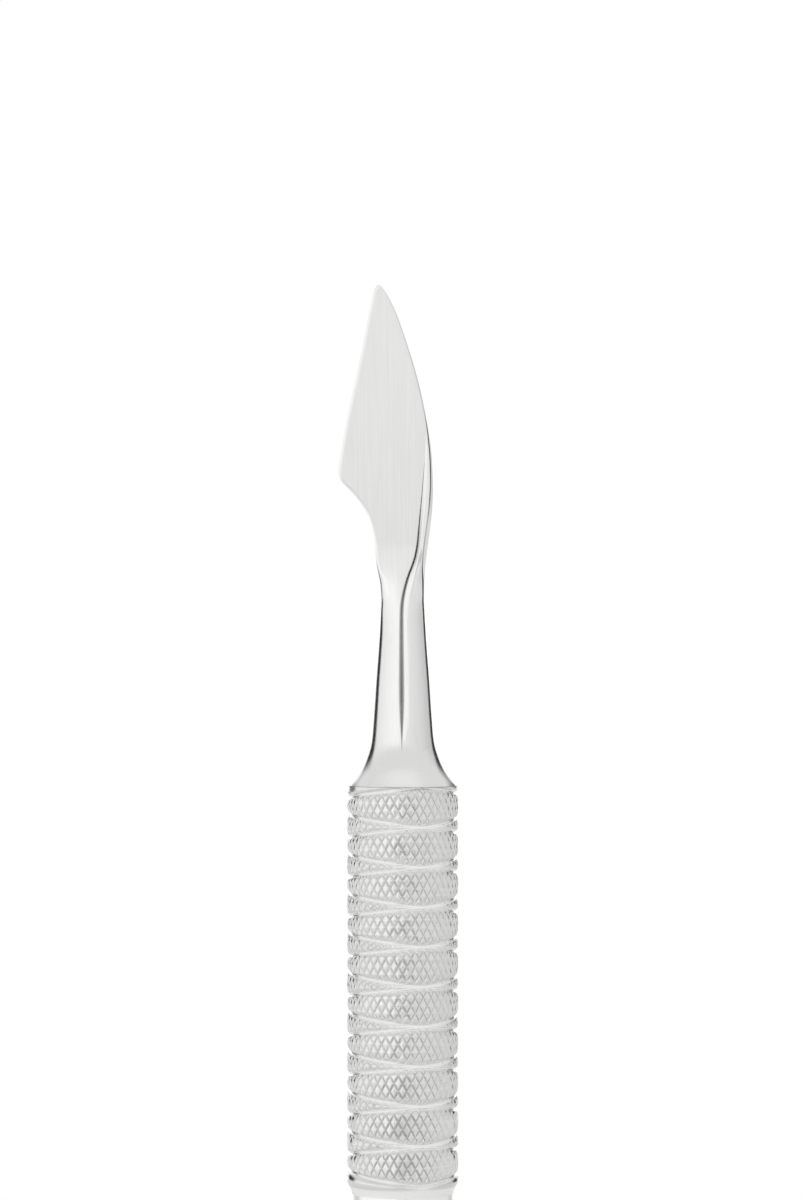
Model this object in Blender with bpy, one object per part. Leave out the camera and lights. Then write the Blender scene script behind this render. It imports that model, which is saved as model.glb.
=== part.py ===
"""Double-ended steel hand tool: a hollow knurled handle, a pointed blade above and a cupped pusher below.

Lengths are in metres. +Z runs along the tool towards the blade's point, the blade's flat face looks to -Y
and its heel points to -X. The origin is on the axis, half way along the handle.
"""

import math

import bmesh
import bpy

mm = 0.001

# Handle tube
HANDLE_LENGTH = 74.0 * mm
CREST_RADIUS = 4.0 * mm
MIDDLE_RADIUS = 3.6 * mm
BORE_RADIUS = 2.8 * mm
MOUTH_RADIUS = 3.4 * mm
MOUTH_CHAMFER_DEPTH = 1.0 * mm
EDGE_BREAK = 0.15 * mm

# Helical grooves: two of opposite hand in each grip, each with a lead of one pitch
GROOVE_PITCH = 2.82 * mm
GROOVE_TURNS = 10
CROSSING_ANGLE = math.radians(21.0)
GROOVE_WALL = 0.62 * mm
GROOVE_ROUNDNESS = 2.4
FIRST_GROOVE_DEPTH = 0.25 * mm
SHOULDER_START = (GROOVE_TURNS - 0.1) * GROOVE_PITCH
SHOULDER_LENGTH = 1.1 * mm

# Tips
SEAM_GAP = 0.3 * mm
TANG_RADIUS = 2.5 * mm
TANG_LENGTH = 9.0 * mm
TANG_LEAD = 0.5 * mm
COLLAR_RADIUS = 3.92 * mm
SHANK_LENGTH = 13.4 * mm
BLADE_FACE_DEPTH = 1.2 * mm
CUTTING_EDGE = 0.14 * mm
VALLEY_WIDTH = 0.5 * mm
VALLEY_ROUNDNESS = 1.6
GRIND_START = SHANK_LENGTH - 1.9 * mm
GRIND_END = SHANK_LENGTH + 3.9 * mm
RIB_CREST = 0.6
SPINE_BEVEL = 0.75
PUSHER_LENGTH = 33.0 * mm
PUSHER_HALF_WIDTH = 2.75 * mm
PUSHER_CUP = 0.25 * mm
PUSHER_CUP_START = 17.0 * mm
PUSHER_CUP_END = 25.0 * mm
PUSHER_ROUND_END = 29.8 * mm

# Braze rings
BRAZE_RING_RADIUS = 2.85 * mm
BRAZE_WIRE_RADIUS = 0.2 * mm
BRAZE_DEPTH = 0.32 * mm

# Mesh density
TUBE_COLUMNS = 24
ROWS_PER_PITCH = 6
FRONT_COLUMNS = 12
ROUND_COLUMNS = 24

# Outline curves as (distance from the collar's plane, value); smooth between their points
SHANK_FLARE = ((0.0, 3.92), (0.12, 3.84), (0.55, 3.50), (1.15, 3.04), (1.9, 2.66), (3.0, 2.31),
               (4.6, 2.14), (7.6, 1.94), (10.6, 1.74), (13.4, 1.60))
BLADE_LEFT = ((13.4, -1.64), (15.2, -1.84), (17.2, -1.95), (18.6, -2.24), (19.8, -2.75), (21.1, -3.75),
              (21.7, -4.40), (22.2, -4.60), (22.8, -4.55), (26.1, -3.97), (30.4, -3.05), (34.8, -2.18),
              (35.4, -2.02), (35.7, -1.78))
BLADE_RIGHT = ((13.4, 1.56), (15.2, 1.60), (17.5, 1.93), (19.7, 2.10), (21.8, 2.15), (24.7, 1.93),
               (29.0, 1.07), (33.3, -0.30), (34.7, -0.93), (35.4, -1.35), (35.7, -1.64))
VALLEY_LINE = ((3.0, -0.05), (12.0, -0.08), (13.3, 0.0), (14.7, 0.32), (16.5, 0.93), (19.0, 1.21),
               (21.8, 1.46), (25.0, 1.70), (29.0, 0.95), (33.3, -0.40), (35.7, -1.70))
VALLEY_DEPTH = ((2.6, 0.0), (3.6, 0.16), (5.0, 0.34), (9.0, 0.42), (13.4, 0.45), (15.0, 0.45))
RIB_HEIGHT = ((13.4, 0.42), (15.0, 0.38), (17.5, 0.28), (21.8, 0.12), (25.0, 0.0), (35.7, 0.0))
SPINE_THICKNESS = ((13.4, 2.3), (15.5, 1.75), (18.0, 1.3), (24.0, 0.95), (30.0, 0.62), (34.5, 0.34),
                   (35.7, 0.24))
PUSHER_WIDTH = ((13.4, 1.60), (16.5, 1.66), (19.5, 2.05), (23.0, 2.55), (27.0, 2.75), (29.8, 2.75))
PUSHER_THICKNESS = ((13.4, 3.20), (15.5, 2.45), (18.0, 1.55), (22.0, 1.0), (27.0, 0.72), (33.0, 0.42))


def clear_scene():
    for obj in list(bpy.data.objects):
        bpy.data.objects.remove(obj, do_unlink=True)


def curve_value(points, at):
    """Value in metres of a smooth curve through (distance, value) points given in millimetres."""
    at = min(max(at / mm, points[0][0]), points[-1][0])
    last = len(points) - 1
    i = next(k for k in range(last) if at <= points[k + 1][0])

    def slope(k):
        low, high = max(k - 1, 0), min(k + 1, last)
        return (points[high][1] - points[low][1]) / (points[high][0] - points[low][0])

    x0, y0 = points[i]
    x1, y1 = points[i + 1]
    step = x1 - x0
    t = (at - x0) / step
    start = (1 + 2 * t) * (1 - t) ** 2 * y0 + t * (1 - t) ** 2 * step * slope(i)
    end = t * t * (3 - 2 * t) * y1 + t * t * (t - 1) * step * slope(i + 1)
    return (start + end) * mm


def smoothstep(low, high, at):
    t = min(max((at - low) / (high - low), 0.0), 1.0)
    return t * t * (3 - 2 * t)


def steel(name, color, roughness):
    material = bpy.data.materials.new(name)
    material.use_nodes = True
    shader = material.node_tree.nodes["Principled BSDF"]
    shader.inputs["Base Color"].default_value = (*color, 1.0)
    shader.inputs["Metallic"].default_value = 1.0
    shader.inputs["Roughness"].default_value = roughness
    return material


def add_mesh(name, bm, material, collection):
    mesh = bpy.data.meshes.new(name)
    bm.to_mesh(mesh)
    bm.free()
    mesh.shade_smooth()
    mesh.set_sharp_from_angle(angle=math.radians(35.0))
    mesh.materials.append(material)
    obj = bpy.data.objects.new(name, mesh)
    collection.objects.link(obj)
    return obj


def wrapped_skin(columns, rows, point_at, closed):
    """Bend a flat grid round the axis so that its sides meet. Close it end to end, or fill its end holes."""
    bm = bmesh.new()
    bmesh.ops.create_grid(bm, x_segments=columns, y_segments=rows, size=1.0)
    for vert in bm.verts:
        column = round((vert.co.x + 1) / 2 * columns) % columns
        row = round((vert.co.y + 1) / 2 * rows)
        vert.co = point_at(column, row % rows if closed else row)
    bmesh.ops.remove_doubles(bm, verts=bm.verts, dist=0.0001 * mm)
    if not closed:
        bmesh.ops.holes_fill(bm, edges=[edge for edge in bm.edges if edge.is_boundary], sides=0)
    bmesh.ops.recalc_face_normals(bm, faces=bm.faces)
    return bm


def groove_heights(angle):
    """Distances below the mouth of every groove line at this angle round the handle."""
    turn = (angle - CROSSING_ANGLE) / (2 * math.pi)
    starts = range(-1, GROOVE_TURNS + 2)
    lines = [(start + way * turn) * GROOVE_PITCH for start in starts for way in (-1, 1)]
    grip = GROOVE_TURNS * GROOVE_PITCH
    return [line for line in lines if FIRST_GROOVE_DEPTH < line <= grip]


def grip_point(depth, angle):
    """(depth, radius) of a grip vertex. A vertex next to a groove line is drawn onto it."""
    spacing = GROOVE_PITCH / ROWS_PER_PITCH
    nearest = min(groove_heights(angle), key=lambda line: abs(line - depth))
    if abs(nearest - depth) <= spacing / 2:
        depth = nearest
    climb = min(abs(depth - nearest) / GROOVE_WALL, 1.0)
    radius = MIDDLE_RADIUS + (CREST_RADIUS - MIDDLE_RADIUS) * (1 - (1 - climb) ** GROOVE_ROUNDNESS)
    shoulder = smoothstep(0.0, SHOULDER_LENGTH, depth - SHOULDER_START)
    return depth, radius + (MIDDLE_RADIUS - radius) * shoulder


def handle_tube():
    grip_rows = GROOVE_TURNS * ROWS_PER_PITCH
    depths = [row * GROOVE_PITCH / ROWS_PER_PITCH for row in range(1, grip_rows + 1)]
    half = HANDLE_LENGTH / 2
    mouth = half - SEAM_GAP / 2
    fillet_end = GROOVE_TURNS * GROOVE_PITCH + SHOULDER_LENGTH

    outer = [("plain", mouth, CREST_RADIUS - EDGE_BREAK)]
    outer += [("grip", depth, 1) for depth in depths]
    outer += [("plain", half - fillet_end, MIDDLE_RADIUS), ("plain", fillet_end - half, MIDDLE_RADIUS)]
    outer += [("grip", depth, -1) for depth in reversed(depths)]
    outer += [("plain", -mouth, CREST_RADIUS - EDGE_BREAK)]
    inner = [("plain", -mouth, MOUTH_RADIUS), ("plain", MOUTH_CHAMFER_DEPTH - mouth, BORE_RADIUS)]
    inner += [("plain", mouth - MOUTH_CHAMFER_DEPTH, BORE_RADIUS), ("plain", mouth, MOUTH_RADIUS)]
    rows = outer + inner

    def point_at(column, row):
        angle = CROSSING_ANGLE + 2 * math.pi * column / TUBE_COLUMNS
        kind, height, detail = rows[row]
        radius = detail
        if kind == "grip":
            depth, radius = grip_point(height, angle)
            height = detail * (half - depth)
        return radius * math.sin(angle), -radius * math.cos(angle), height

    return wrapped_skin(TUBE_COLUMNS, len(rows), point_at, closed=True)


def shank_radius(distance):
    return curve_value(SHANK_FLARE, distance)


def tang_rings():
    """(distance, radius) of the tang and the collar's underside, from the tang's end upwards."""
    underside = SEAM_GAP / 2
    return [(-TANG_LENGTH, TANG_RADIUS - TANG_LEAD), (TANG_LEAD - TANG_LENGTH, TANG_RADIUS),
            (underside, TANG_RADIUS), (underside, COLLAR_RADIUS - EDGE_BREAK),
            (underside + EDGE_BREAK, shank_radius(underside + EDGE_BREAK))]


def blade_section(distance, side, across):
    """Point of the blade tip's section. Side -1 is the front and 1 the back; across is 0 left and 1 right."""
    left = curve_value(BLADE_LEFT, distance)
    right = curve_value(BLADE_RIGHT, distance)
    if distance < SHANK_LENGTH:
        right = shank_radius(distance)
        left = -right
    valley = curve_value(VALLEY_LINE, distance)
    ground = smoothstep(GRIND_START, GRIND_END, distance)
    spine = curve_value(SPINE_THICKNESS, distance)

    if side < 0:
        half = across * 2 if across < 0.5 else across * 2 - 1
        eased = (1 - math.cos(math.pi * half)) / 2
        x = left + (valley - left) * eased if across < 0.5 else valley + (right - valley) * eased
    else:
        x = left + (right - left) * (1 - math.cos(math.pi * across)) / 2

    centre, reach = (left + right) / 2, (right - left) / 2
    bulge = math.sqrt(max(0.0, 1 - ((x - centre) / reach) ** 2)) * shank_radius(distance)
    bulge = max(bulge, CUTTING_EDGE / 2 if x < centre else 0.0)

    if side < 0:
        dip = curve_value(VALLEY_DEPTH, distance)
        round_y = -bulge + dip * max(0.0, 1 - abs(x - valley) / VALLEY_WIDTH) ** VALLEY_ROUNDNESS
        flat_y = -BLADE_FACE_DEPTH
        if x > valley:
            t = (x - valley) / (right - valley)
            rib = curve_value(RIB_HEIGHT, distance)
            flat_y -= rib * math.sin(math.pi * min(t / RIB_CREST, 1.0) / 2)
            flat_y += max(0.0, (t - RIB_CREST) / (1 - RIB_CREST)) ** 2 * (rib + 0.35 * spine)
    else:
        round_y = bulge
        t = (x - left) / (right - left)
        flat_y = -BLADE_FACE_DEPTH + CUTTING_EDGE + (spine - CUTTING_EDGE) * min(t / SPINE_BEVEL, 1.0)
        flat_y -= max(0.0, (t - SPINE_BEVEL) / (1 - SPINE_BEVEL)) ** 2 * 0.65 * spine
    return x, round_y + (flat_y - round_y) * ground


def blade_tip():
    tang = tang_rings()
    heel = [20.4, 20.9, 21.3, 21.6, 21.9, 22.2, 22.6, 23.2]
    shank = [12.4 * k / 11 + 0.4 for k in range(12)]
    neck = [13.4 + 0.7 * k for k in range(10)]
    blade = [24.6, 26.4, 28.2, 30.0, 31.6, 33.0, 34.2, 35.0, 35.5, 35.7]
    distances = [value * mm for value in shank + neck + heel + blade]
    rows = tang + [(distance, None) for distance in distances]
    seam = HANDLE_LENGTH / 2
    columns = 2 * FRONT_COLUMNS

    def point_at(column, row):
        distance, radius = rows[row]
        front = column <= FRONT_COLUMNS
        across = column / FRONT_COLUMNS if front else (columns - 1 - column) / (FRONT_COLUMNS - 1)
        if radius is None:
            x, y = blade_section(distance, -1 if front else 1, across)
        else:
            angle = 2 * math.pi * column / columns
            x, y = -radius * math.cos(angle), -radius * math.sin(angle)
        return x, y, seam + distance

    return wrapped_skin(columns, len(rows) - 1, point_at, closed=False)


def pusher_tip():
    collar = [0.4, 0.8, 1.2, 1.8, 2.5, 3.4, 4.6]
    shank = [6.5, 9.0, 11.5, 13.4]
    spade = [15.0, 16.5, 18.0, 19.5, 21.0, 23.0, 25.0, 27.0, 28.6]
    round_end = [29.8, 30.8, 31.6, 32.2, 32.6, 32.85, 32.96]
    rows = tang_rings() + [(value * mm, None) for value in collar + shank + spade + round_end]
    seam = -HANDLE_LENGTH / 2

    def point_at(column, row):
        distance, radius = rows[row]
        angle = 2 * math.pi * column / ROUND_COLUMNS
        if radius is None:
            wide = shank_radius(distance)
            thick = 2 * wide
            if distance > SHANK_LENGTH:
                wide = curve_value(PUSHER_WIDTH, distance)
                thick = curve_value(PUSHER_THICKNESS, distance)
            past = max(0.0, distance - PUSHER_ROUND_END) / (PUSHER_LENGTH - PUSHER_ROUND_END)
            wide *= math.sqrt(max(0.0, 1 - past ** 2))
            cup = PUSHER_CUP * smoothstep(PUSHER_CUP_START, PUSHER_CUP_END, distance)
            x = -wide * math.cos(angle)
            y = -thick / 2 * math.sin(angle) + cup * (1 - (x / PUSHER_HALF_WIDTH) ** 2)
        else:
            x, y = -radius * math.cos(angle), -radius * math.sin(angle)
        return x, y, seam - distance

    return wrapped_skin(ROUND_COLUMNS, len(rows) - 1, point_at, closed=False)


def braze_ring(name, height, material, collection):
    bpy.ops.mesh.primitive_torus_add(
        major_radius=BRAZE_RING_RADIUS, minor_radius=BRAZE_WIRE_RADIUS, major_segments=TUBE_COLUMNS,
        minor_segments=8, location=(0, 0, height))
    ring = bpy.context.object
    ring.name = name
    ring.data.name = name
    ring.data.materials.append(material)
    ring.data.shade_smooth()
    for holder in list(ring.users_collection):
        holder.objects.unlink(ring)
    collection.objects.link(ring)


def main():
    clear_scene()
    tool = bpy.data.collections.new("double_ended_hand_tool")
    bpy.context.scene.collection.children.link(tool)
    handle_steel = steel("handle_steel", (0.66, 0.66, 0.65), 0.32)
    tip_steel = steel("tip_steel", (0.70, 0.70, 0.69), 0.24)
    filler = steel("braze_filler", (0.78, 0.74, 0.60), 0.35)

    add_mesh("handle_tube", handle_tube(), handle_steel, tool)
    add_mesh("blade_tip", blade_tip(), tip_steel, tool)
    add_mesh("pusher_tip", pusher_tip(), tip_steel, tool)
    ring_height = HANDLE_LENGTH / 2 - SEAM_GAP / 2 - BRAZE_DEPTH
    braze_ring("blade_braze_ring", ring_height, filler, tool)
    braze_ring("pusher_braze_ring", -ring_height, filler, tool)


main()
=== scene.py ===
"""Finished look of a double-ended steel hand tool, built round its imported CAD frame."""

import math

import bmesh
import bpy
import numpy as np
from bpy.props import FloatProperty, FloatVectorProperty, IntProperty, PointerProperty
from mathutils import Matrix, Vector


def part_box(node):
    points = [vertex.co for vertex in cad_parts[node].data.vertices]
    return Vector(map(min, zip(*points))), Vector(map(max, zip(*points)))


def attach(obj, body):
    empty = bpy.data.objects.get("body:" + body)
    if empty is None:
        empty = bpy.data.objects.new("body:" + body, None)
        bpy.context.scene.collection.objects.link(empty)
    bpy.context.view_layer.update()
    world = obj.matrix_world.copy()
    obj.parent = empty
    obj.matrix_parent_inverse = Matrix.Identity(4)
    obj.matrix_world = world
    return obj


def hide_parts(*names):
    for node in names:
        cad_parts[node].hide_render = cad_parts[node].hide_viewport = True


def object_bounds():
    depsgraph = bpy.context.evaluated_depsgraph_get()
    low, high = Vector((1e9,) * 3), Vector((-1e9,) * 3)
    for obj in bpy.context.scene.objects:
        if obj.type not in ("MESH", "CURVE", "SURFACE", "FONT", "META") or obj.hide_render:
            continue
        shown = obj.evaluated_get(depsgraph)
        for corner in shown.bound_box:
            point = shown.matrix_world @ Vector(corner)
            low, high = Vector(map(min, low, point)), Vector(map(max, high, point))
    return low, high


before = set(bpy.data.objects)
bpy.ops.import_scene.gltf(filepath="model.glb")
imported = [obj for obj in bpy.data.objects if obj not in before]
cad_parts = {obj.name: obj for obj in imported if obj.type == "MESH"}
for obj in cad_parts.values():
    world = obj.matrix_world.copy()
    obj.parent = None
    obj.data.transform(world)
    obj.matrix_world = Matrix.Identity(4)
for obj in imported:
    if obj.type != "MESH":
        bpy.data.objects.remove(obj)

bl_info = {
    "name": "Double-ended steel hand tool",
    "version": (1, 0, 0),
    "blender": (4, 5, 0),
    "location": "View3D > Sidebar > Hand Tool",
    "description": "Makes the knurled handle, both tips and the studio round the CAD frame",
    "category": "Add Mesh",
}

mm = 0.001
CAD_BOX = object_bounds()
TUBE_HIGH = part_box("handle_tube")[1]
BLADE_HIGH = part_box("blade_tip")[1]
PUSHER_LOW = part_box("pusher_tip")[0]

# The tube and each collar stand this far apart in the frame, and meet at a seam plane half way between
FRAME_SEAM_GAP = 0.3 * mm
SEAM_HEIGHT = TUBE_HIGH.z + FRAME_SEAM_GAP / 2
BLADE_REACH = BLADE_HIGH.z - SEAM_HEIGHT
PUSHER_REACH = -PUSHER_LOW.z - SEAM_HEIGHT

# Outline curves as (distance from the seam plane, value) in millimetres; smooth between their points
SHANK_FLARE = ((0.0, 3.92), (0.12, 3.86), (0.55, 3.50), (1.15, 3.04), (1.9, 2.66), (3.0, 2.31),
               (4.6, 2.14), (7.6, 1.93), (10.6, 1.70), (13.4, 1.53))
BLADE_LEFT = ((13.4, -1.50), (14.5, -1.58), (15.2, -1.73), (16.2, -1.90), (17.2, -1.97), (18.6, -2.24),
              (19.8, -2.75), (21.1, -3.75), (21.7, -4.40), (22.2, -4.60), (22.8, -4.55), (26.1, -3.97),
              (30.4, -3.05), (34.8, -2.18), (35.4, -2.02), (35.7, -1.78))
BLADE_RIGHT = ((13.4, 1.53), (15.2, 1.56), (16.5, 1.71), (17.5, 1.84), (19.7, 2.10), (21.8, 2.15),
               (24.7, 1.93), (29.0, 1.07), (33.3, -0.30), (34.7, -0.93), (35.4, -1.35), (35.7, -1.64))
VALLEY_LINE = ((2.0, -0.05), (12.0, -0.08), (13.3, 0.0), (14.7, 0.32), (16.5, 0.93), (19.0, 1.21),
               (21.8, 1.46), (25.0, 1.60), (29.0, 0.80), (33.3, -0.60), (35.7, -1.72))
VALLEY_DEPTH = ((1.8, 0.0), (2.6, 0.02), (3.6, 0.15), (4.8, 0.38), (6.2, 0.52), (9.0, 0.50), (13.4, 0.36),
                (16.0, 0.24), (19.0, 0.14), (21.8, 0.06), (24.0, 0.0), (35.7, 0.0))
RIB_HEIGHT = ((13.4, 0.42), (15.0, 0.38), (17.5, 0.28), (21.8, 0.12), (25.0, 0.0), (35.7, 0.0))
LEFT_SHOULDER_WIDTH = ((11.0, 0.5), (13.4, 0.26), (15.0, 0.20), (16.6, 0.10), (18.0, 0.03), (35.7, 0.02))
CREST_STEP = ((11.0, 0.30), (13.4, 0.30), (17.0, 0.26), (22.0, 0.22), (25.0, 0.14), (28.0, 0.06),
              (34.5, 0.04), (35.7, 0.03))
SIDE_WALL_WIDTH = ((13.4, 0.16), (14.6, 0.18), (16.1, 0.30), (17.8, 0.33), (20.2, 0.28), (22.0, 0.22),
                   (25.0, 0.16), (30.0, 0.12), (34.5, 0.10), (35.7, 0.06))
SPINE_THICKNESS = ((13.4, 2.3), (15.5, 1.75), (18.0, 1.3), (24.0, 0.95), (30.0, 0.62), (34.5, 0.34),
                   (35.7, 0.24))
PUSHER_WIDTH = ((13.4, 1.53), (16.5, 1.62), (19.5, 2.05), (23.0, 2.55), (27.0, 2.75), (29.8, 2.75))
PUSHER_THICKNESS = ((13.4, 3.06), (15.5, 2.45), (18.0, 1.55), (22.0, 1.0), (27.0, 0.72), (33.0, 0.42))
OUTLINE_STEP = 0.05 * mm

# Light that the polished steel sees, as (bearing round the tool in degrees from the front, brightness)
STUDIO_RING = ((-180, 1.05), (-150, 0.95), (-110, 0.80), (-90, 0.84), (-70, 0.88), (-40, 0.93), (-22, 0.95),
               (-8, 0.88), (2, 0.80), (12, 0.78), (60, 0.72), (90, 0.64), (112, 0.56), (150, 0.62),
               (160, 1.0), (180, 1.05))
FLOOR_RING = ((-180, 0.9), (-90, 0.88), (-60, 0.92), (-40, 1.0), (-22, 0.98), (-10, 0.88), (0, 0.80),
              (60, 0.74), (110, 0.70), (150, 0.85), (180, 0.9))

# Where the black flags stand, as (bearing in degrees, share)
STUDIO_FLAGS = ((-180, 0), (-149, 0), (-144, 1), (-120, 1), (-114, 0), (126, 0), (131, 1), (152, 1),
                (156, 0), (180, 0))

# Heights in the surround as (height from 0 straight below to 1 straight above, value)
ABOVE_FLOOR = ((0.0, 0.0), (0.455, 0.0), (0.485, 1.0), (1.0, 1.0))
CEILING_SHARE = ((0.0, 0.0), (0.64, 0.0), (0.76, 1.0), (1.0, 1.0))
CEILING_LIGHT = ((0.0, 0.71), (0.90, 0.71), (1.0, 0.82))
FLAG_HEIGHT = ((0.0, 0.0), (0.16, 0.0), (0.22, 0.9), (0.41, 0.9), (0.44, 0.4), (0.465, 0.4), (0.485, 1.0),
               (0.64, 1.0), (0.77, 0.0), (1.0, 0.0))
GAP_HEIGHT = ((0.0, 0.0), (0.1, 0.0), (0.22, 1.0), (0.36, 1.0), (0.41, 0.5), (0.475, 0.5), (0.495, 0.0),
              (1.0, 0.0))

# The dark gap between the front panels, as (bearing from 0 to 1 of a turn that starts at the back, share)
FRONT_GAP = ((0.0, 0.0), (0.455, 0.0), (0.470, 1.0), (0.535, 1.0), (0.55, 0.0), (1.0, 0.0))


class GripSizes(bpy.types.PropertyGroup):
    """Sizes of the handle tube and of its two knurled grips."""

    crest_radius: FloatProperty(
        name="Crest Radius", description="Radius over the knurled crests",
        default=4.0 * mm, min=1 * mm, subtype="DISTANCE", unit="LENGTH", precision=5)
    waist_depth: FloatProperty(
        name="Waist Depth", description="Depth of the smooth middle below the knurled crests",
        default=0.4 * mm, min=0.0, subtype="DISTANCE", unit="LENGTH", precision=5)
    groove_depth: FloatProperty(
        name="Groove Depth", description="Depth of the smooth helical grooves below the crests",
        default=0.30 * mm, min=0.0, subtype="DISTANCE", unit="LENGTH", precision=5)
    groove_pitch: FloatProperty(
        name="Groove Pitch", description="Distance along the handle between groove crossings",
        default=2.82 * mm, min=0.5 * mm, subtype="DISTANCE", unit="LENGTH", precision=5)
    groove_turns: IntProperty(
        name="Groove Turns", description="Turns of each helical groove in one grip", default=10, min=1)
    crossing_angle: FloatProperty(
        name="Crossing Angle",
        description="Bearing of the groove crossings, from the front towards the right",
        default=math.radians(21.0), subtype="ANGLE", unit="ROTATION")
    groove_softness: FloatProperty(
        name="Groove Softness", description="How far the rounded wall spreads on each side of a groove",
        default=0.13 * mm, min=0.05 * mm, subtype="DISTANCE", unit="LENGTH", precision=5)
    knurl_count: IntProperty(
        name="Knurl Count", description="Diamonds round the handle", default=40, min=8)
    knurl_length: FloatProperty(
        name="Knurl Length", description="Length of one diamond along the handle",
        default=1.1 * mm, min=0.2 * mm, subtype="DISTANCE", unit="LENGTH", precision=5)
    knurl_depth: FloatProperty(
        name="Knurl Depth", description="Depth of the lines between the diamonds",
        default=0.12 * mm, min=0.0, subtype="DISTANCE", unit="LENGTH", precision=5)


class TipSizes(bpy.types.PropertyGroup):
    """Sizes of the blade tip and of the pusher tip."""

    seam_width: FloatProperty(
        name="Seam Width", description="Hairline gap between a collar and the tube",
        default=0.016 * mm, min=0.0, subtype="DISTANCE", unit="LENGTH", precision=5)
    shank_length: FloatProperty(
        name="Shank Length", description="Length of the round tapered shank above its seam",
        default=13.4 * mm, min=5 * mm, subtype="DISTANCE", unit="LENGTH", precision=5)
    tang_length: FloatProperty(
        name="Tang Length", description="Length of the tang inside the tube",
        default=9.0 * mm, min=1 * mm, subtype="DISTANCE", unit="LENGTH", precision=5)
    tang_radius: FloatProperty(
        name="Tang Radius", description="Radius of the tang inside the tube",
        default=2.5 * mm, min=0.5 * mm, subtype="DISTANCE", unit="LENGTH", precision=5)
    face_depth: FloatProperty(
        name="Face Depth", description="Distance of the blade's flat face in front of the axis",
        default=1.2 * mm, subtype="DISTANCE", unit="LENGTH", precision=5)
    edge_thickness: FloatProperty(
        name="Edge Thickness", description="Thickness of the cutting edge",
        default=0.10 * mm, min=0.01 * mm, subtype="DISTANCE", unit="LENGTH", precision=5)


class SteelFinish(bpy.types.PropertyGroup):
    """Colours and polish of the metals."""

    handle_color: FloatVectorProperty(
        name="Handle Colour", description="Colour of the satin handle steel", subtype="COLOR",
        default=(0.77, 0.77, 0.764), min=0.0, max=1.0)
    tip_color: FloatVectorProperty(
        name="Tip Colour", description="Colour of the brighter tip steel", subtype="COLOR",
        default=(0.74, 0.74, 0.735), min=0.0, max=1.0)
    filler_color: FloatVectorProperty(
        name="Filler Colour", description="Colour of the braze filler", subtype="COLOR",
        default=(0.80, 0.70, 0.48), min=0.0, max=1.0)
    handle_roughness: FloatProperty(
        name="Handle Roughness", description="Roughness of the handle steel",
        default=0.24, min=0.0, max=1.0, subtype="FACTOR")
    tip_roughness: FloatProperty(
        name="Tip Roughness", description="Roughness of the tip steel",
        default=0.17, min=0.0, max=1.0, subtype="FACTOR")


class StudioSizes(bpy.types.PropertyGroup):
    """Camera, floor and light of the studio."""

    camera_distance: FloatProperty(
        name="Camera Distance", description="Distance of the camera in front of the axis",
        default=0.35, min=0.1, subtype="DISTANCE", unit="LENGTH")
    camera_lens: FloatProperty(
        name="Camera Lens", description="Focal length of the camera", default=147.0, min=20.0,
        subtype="DISTANCE_CAMERA", unit="CAMERA")
    camera_height: FloatProperty(
        name="Camera Height", description="Height of the camera above the middle of the handle",
        default=50.26 * mm, subtype="DISTANCE", unit="LENGTH")
    floor_size: FloatProperty(
        name="Floor Size", description="Side of the square floor", default=0.9, min=0.1,
        subtype="DISTANCE", unit="LENGTH")
    ring_strength: FloatProperty(
        name="Ring Strength", description="Strength of the panels that the tool reflects", default=1.36,
        min=0.0)


MERGE_DISTANCE = 0.0002 * mm
SAME_COLUMN = 0.1
SAME_ROW = 0.01


def smoothstep(low, high, at):
    """Smooth climb from nought at low to one at high."""
    t = np.clip((at - low) / (high - low), 0.0, 1.0)
    return t * t * (3 - 2 * t)


def outline(points, at, softness=0.5 * mm):
    """Value in metres, at each distance in metres, of a smooth curve through points in millimetres."""
    knots, values = np.array(points).T * mm
    slopes = np.empty(len(knots))
    slopes[1:-1] = (values[2:] - values[:-2]) / (knots[2:] - knots[:-2])
    slopes[0] = (values[1] - values[0]) / (knots[1] - knots[0])
    slopes[-1] = (values[-1] - values[-2]) / (knots[-1] - knots[-2])
    fine = np.arange(knots[0], knots[-1] + OUTLINE_STEP / 2, OUTLINE_STEP)
    i = np.clip(np.searchsorted(knots, fine) - 1, 0, len(knots) - 2)
    step = knots[i + 1] - knots[i]
    t = (fine - knots[i]) / step
    curve = (1 + 2 * t) * (1 - t) ** 2 * values[i] + t * (1 - t) ** 2 * step * slopes[i]
    curve += t * t * (3 - 2 * t) * values[i + 1] + t * t * (t - 1) * step * slopes[i + 1]
    reach = max(1, round(softness / OUTLINE_STEP))
    weights = np.hanning(2 * reach + 3)[1:-1]
    padded = np.pad(curve, reach, mode="reflect", reflect_type="odd")
    soft = np.convolve(padded, weights / weights.sum(), mode="valid")
    return np.interp(at, fine, soft)


def grid_for_wrapping(columns, rows):
    """Flat grid, one unit to a column and a row."""
    bm = bmesh.new()
    bmesh.ops.create_grid(bm, x_segments=columns, y_segments=rows, size=0.5)
    bmesh.ops.scale(bm, vec=(columns, rows, 1), verts=bm.verts)
    bmesh.ops.translate(bm, vec=(columns / 2, rows / 2, 0), verts=bm.verts)
    return bm


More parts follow.
